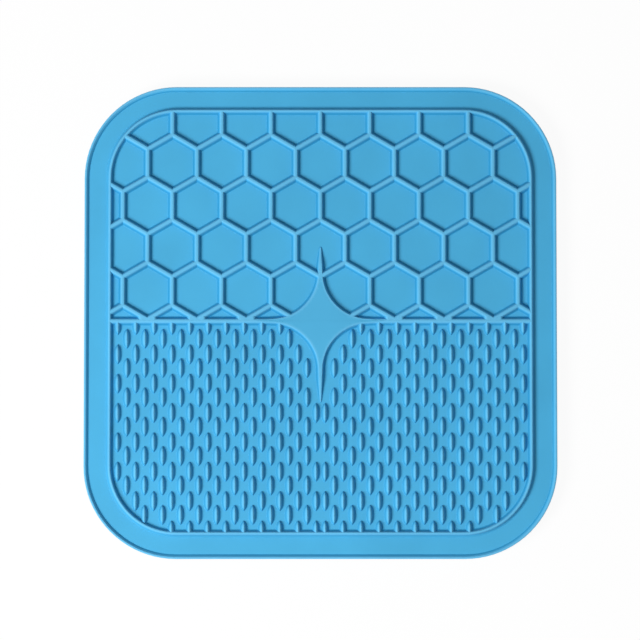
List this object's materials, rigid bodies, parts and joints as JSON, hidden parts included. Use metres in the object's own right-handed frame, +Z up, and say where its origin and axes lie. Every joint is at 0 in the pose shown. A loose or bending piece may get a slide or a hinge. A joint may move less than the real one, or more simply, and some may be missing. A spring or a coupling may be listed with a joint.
{
  "type": "lick mat",
  "caption": "Square silicone lick mat with rounded corners: a honeycomb field, a field of staggered ridges, a star on the bar between them, a raised lip, and suction cups underneath.",
  "frame": {"origin": "middle of the mat in plan, on the plane that the suction cups' lips stand on", "axes": "+Z up out of the licking face, +Y from the ridged half towards the honeycomb half, +X to the right as seen from above"},
  "size_m": [0.2, 0.2, 0.0076],
  "materials": {
    "silicone": "satin"
  },
  "bodies": {
    "root": {"base_sheet": "silicone", "center_star": "silicone", "divider_left": "silicone", "divider_right": "silicone", "field_frame": "silicone", "honeycomb_falling": "silicone", "honeycomb_rising": "silicone", "honeycomb_uprights": "silicone", "outer_lip": "silicone", "ridge_row_01": "silicone", "ridge_row_02": "silicone", "ridge_row_03": "silicone", "ridge_row_04": "silicone", "ridge_row_05": "silicone", "ridge_row_06": "silicone", "ridge_row_07": "silicone", "ridge_row_08": "silicone", "ridge_row_09": "silicone", "ridge_row_10": "silicone", "ridge_row_11": "silicone", "ridge_row_12": "silicone", "ridge_row_13": "silicone", "ridge_row_14": "silicone", "ridge_row_15": "silicone", "suction_cups_1": "silicone", "suction_cups_2": "silicone", "suction_cups_3": "silicone"}
  },
  "joints": []
}
